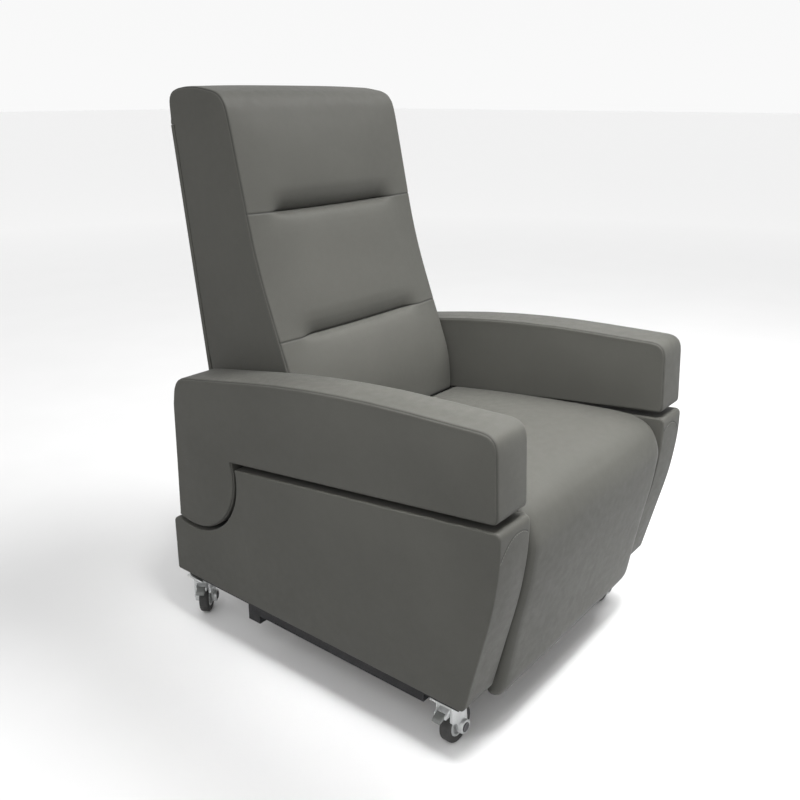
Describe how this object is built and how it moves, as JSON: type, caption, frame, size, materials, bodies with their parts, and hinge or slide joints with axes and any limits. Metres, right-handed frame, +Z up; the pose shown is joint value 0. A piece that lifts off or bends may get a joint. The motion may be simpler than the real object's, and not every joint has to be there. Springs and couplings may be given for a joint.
{
  "type": "patient recliner chair",
  "caption": "Upholstered patient recliner with swing-up padded arms, a reclining back, a lifting legrest and swivel casters with brake pedals under a steel base.",
  "frame": {"origin": "on the floor under the middle of the chair", "axes": "+Z up, -Y towards the sitter's feet, +X towards the sitter's left"},
  "size_m": [0.747, 0.9064, 1.1768],
  "materials": {
    "vinyl": "matte warm-grey coated upholstery with a fine grain",
    "dark_steel": "black powder coat",
    "zinc_steel": "zinc plated",
    "bright_steel": "ground and polished",
    "silver_paint": "silver-grey paint, satin",
    "plywood": "bare birch ply",
    "tyre": "matte",
    "hub_plastic": "moulded grey",
    "pedal_plastic": "moulded light grey"
  },
  "bodies": {
    "base": {"base_rail_left": "dark_steel", "side_panel_left": "vinyl", "seat_rail_left": "dark_steel", "recline_bracket_left": "zinc_steel", "legrest_bracket_left": "zinc_steel", "arm_bracket_left": "zinc_steel", "base_rail_right": "dark_steel", "side_panel_right": "vinyl", "seat_rail_right": "dark_steel", "recline_bracket_right": "zinc_steel", "legrest_bracket_right": "zinc_steel", "arm_bracket_right": "zinc_steel", "base_cross_front": "dark_steel", "base_cross_rear": "dark_steel", "seat_cross_front": "dark_steel", "seat_cross_middle": "dark_steel", "seat_cross_rear": "dark_steel", "rear_panel": "vinyl", "seat_cushion": "vinyl", "waterfall_pad": "vinyl", "seat_deck": "plywood", "caster_mount_front_left": "zinc_steel", "caster_mount_front_right": "zinc_steel", "caster_mount_rear_left": "zinc_steel", "caster_mount_rear_right": "zinc_steel"},
    "back": {"back_upright_left": "dark_steel", "back_hinge_plate_left": "zinc_steel", "back_upright_right": "dark_steel", "back_hinge_plate_right": "zinc_steel", "back_cross_lower": "dark_steel", "back_cross_upper": "dark_steel", "back_cushion": "vinyl", "back_rear_cover": "vinyl", "back_lever": "zinc_steel"},
    "legrest": {"legrest_hinge_plate_left": "zinc_steel", "legrest_hinge_plate_right": "zinc_steel", "legrest_pad": "vinyl", "legrest_board": "plywood"},
    "arm_left": {"arm_left": "vinyl"},
    "arm_right": {"arm_right": "vinyl"},
    "spring_cylinder": {"gas_spring_cylinder": "dark_steel"},
    "spring_rod": {"gas_spring_rod": "bright_steel"},
    "fork_front_left": {"caster_fork_front_left": "silver_paint"},
    "wheel_front_left": {"caster_tyre_front_left": "tyre", "caster_hub_front_left": "hub_plastic"},
    "pedal_front_left": {"caster_pedal_front_left": "pedal_plastic"},
    "fork_front_right": {"caster_fork_front_right": "silver_paint"},
    "wheel_front_right": {"caster_tyre_front_right": "tyre", "caster_hub_front_right": "hub_plastic"},
    "pedal_front_right": {"caster_pedal_front_right": "pedal_plastic"},
    "fork_rear_left": {"caster_fork_rear_left": "silver_paint"},
    "wheel_rear_left": {"caster_tyre_rear_left": "tyre", "caster_hub_rear_left": "hub_plastic"},
    "pedal_rear_left": {"caster_pedal_rear_left": "pedal_plastic"},
    "fork_rear_right": {"caster_fork_rear_right": "silver_paint"},
    "wheel_rear_right": {"caster_tyre_rear_right": "tyre", "caster_hub_rear_right": "hub_plastic"},
    "pedal_rear_right": {"caster_pedal_rear_right": "pedal_plastic"}
  },
  "joints": [
    {"name": "back_recline", "type": "hinge", "parent": "base", "child": "back", "pos_m": [0, 0.132, 0.432], "axis": [-1, 0, 0], "range_deg": [0, 55]},
    {"name": "legrest_lift", "type": "hinge", "parent": "base", "child": "legrest", "pos_m": [0, -0.398, 0.44], "axis": [-1, 0, 0], "range_deg": [0, 85], "deforming": ["waterfall_pad"]},
    {"name": "spring_swing", "type": "hinge", "parent": "base", "child": "spring_cylinder", "pos_m": [0, -0.2, 0.277], "axis": [1, 0, 0], "range_deg": [0, 1]},
    {"name": "spring_stroke", "type": "slide", "parent": "spring_cylinder", "child": "spring_rod", "axis": [0, 0.9412, 0.3377], "range_m": [-0.0335, 0]},
    {"name": "arm_left_swing", "type": "hinge", "parent": "base", "child": "arm_left", "pos_m": [0.326, 0.327, 0.402], "axis": [-1, 0, 0], "range_deg": [0, 90]},
    {"name": "arm_right_swing", "type": "hinge", "parent": "base", "child": "arm_right", "pos_m": [-0.326, 0.327, 0.402], "axis": [-1, 0, 0], "range_deg": [0, 90]},
    {"name": "swivel_front_left", "type": "hinge", "parent": "base", "child": "fork_front_left", "pos_m": [0.325, -0.324, 0.09], "axis": [0, 0, 1], "continuous": true},
    {"name": "roll_front_left", "type": "hinge", "parent": "fork_front_left", "child": "wheel_front_left", "pos_m": [0.303, -0.324, 0.0375], "axis": [0, -1, 0], "continuous": true},
    {"name": "brake_front_left", "type": "hinge", "parent": "fork_front_left", "child": "pedal_front_left", "pos_m": [0.349, -0.324, 0.081], "axis": [0, 1, 0], "range_deg": [0, 15]},
    {"name": "swivel_front_right", "type": "hinge", "parent": "base", "child": "fork_front_right", "pos_m": [-0.325, -0.324, 0.09], "axis": [0, 0, 1], "continuous": true},
    {"name": "roll_front_right", "type": "hinge", "parent": "fork_front_right", "child": "wheel_front_right", "pos_m": [-0.303, -0.324, 0.0375], "axis": [0, 1, 0], "continuous": true},
    {"name": "brake_front_right", "type": "hinge", "parent": "fork_front_right", "child": "pedal_front_right", "pos_m": [-0.349, -0.324, 0.081], "axis": [0, -1, 0], "range_deg": [0, 15]},
    {"name": "swivel_rear_left", "type": "hinge", "parent": "base", "child": "fork_rear_left", "pos_m": [0.33, 0.366, 0.09], "axis": [0, 0, 1], "continuous": true},
    {"name": "roll_rear_left", "type": "hinge", "parent": "fork_rear_left", "child": "wheel_rear_left", "pos_m": [0.31266, 0.37955, 0.0375], "axis": [-0.6157, -0.788, 0], "continuous": true},
    {"name": "brake_rear_left", "type": "hinge", "parent": "fork_rear_left", "child": "pedal_rear_left", "pos_m": [0.34891, 0.35122, 0.081], "axis": [0.6157, 0.788, 0], "range_deg": [0, 15]},
    {"name": "swivel_rear_right", "type": "hinge", "parent": "base", "child": "fork_rear_right", "pos_m": [-0.33, 0.366, 0.09], "axis": [0, 0, 1], "continuous": true},
    {"name": "roll_rear_right", "type": "hinge", "parent": "fork_rear_right", "child": "wheel_rear_right", "pos_m": [-0.31266, 0.37955, 0.0375], "axis": [-0.6157, 0.788, 0], "continuous": true},
    {"name": "brake_rear_right", "type": "hinge", "parent": "fork_rear_right", "child": "pedal_rear_right", "pos_m": [-0.34891, 0.35122, 0.081], "axis": [0.6157, -0.788, 0], "range_deg": [0, 15]}
  ],
  "couplings": [
    {"joint": "spring_swing", "follows": "back_recline", "ratio": 0.004},
    {"joint": "spring_stroke", "follows": "back_recline", "m_per_rad": -0.03425}
  ]
}
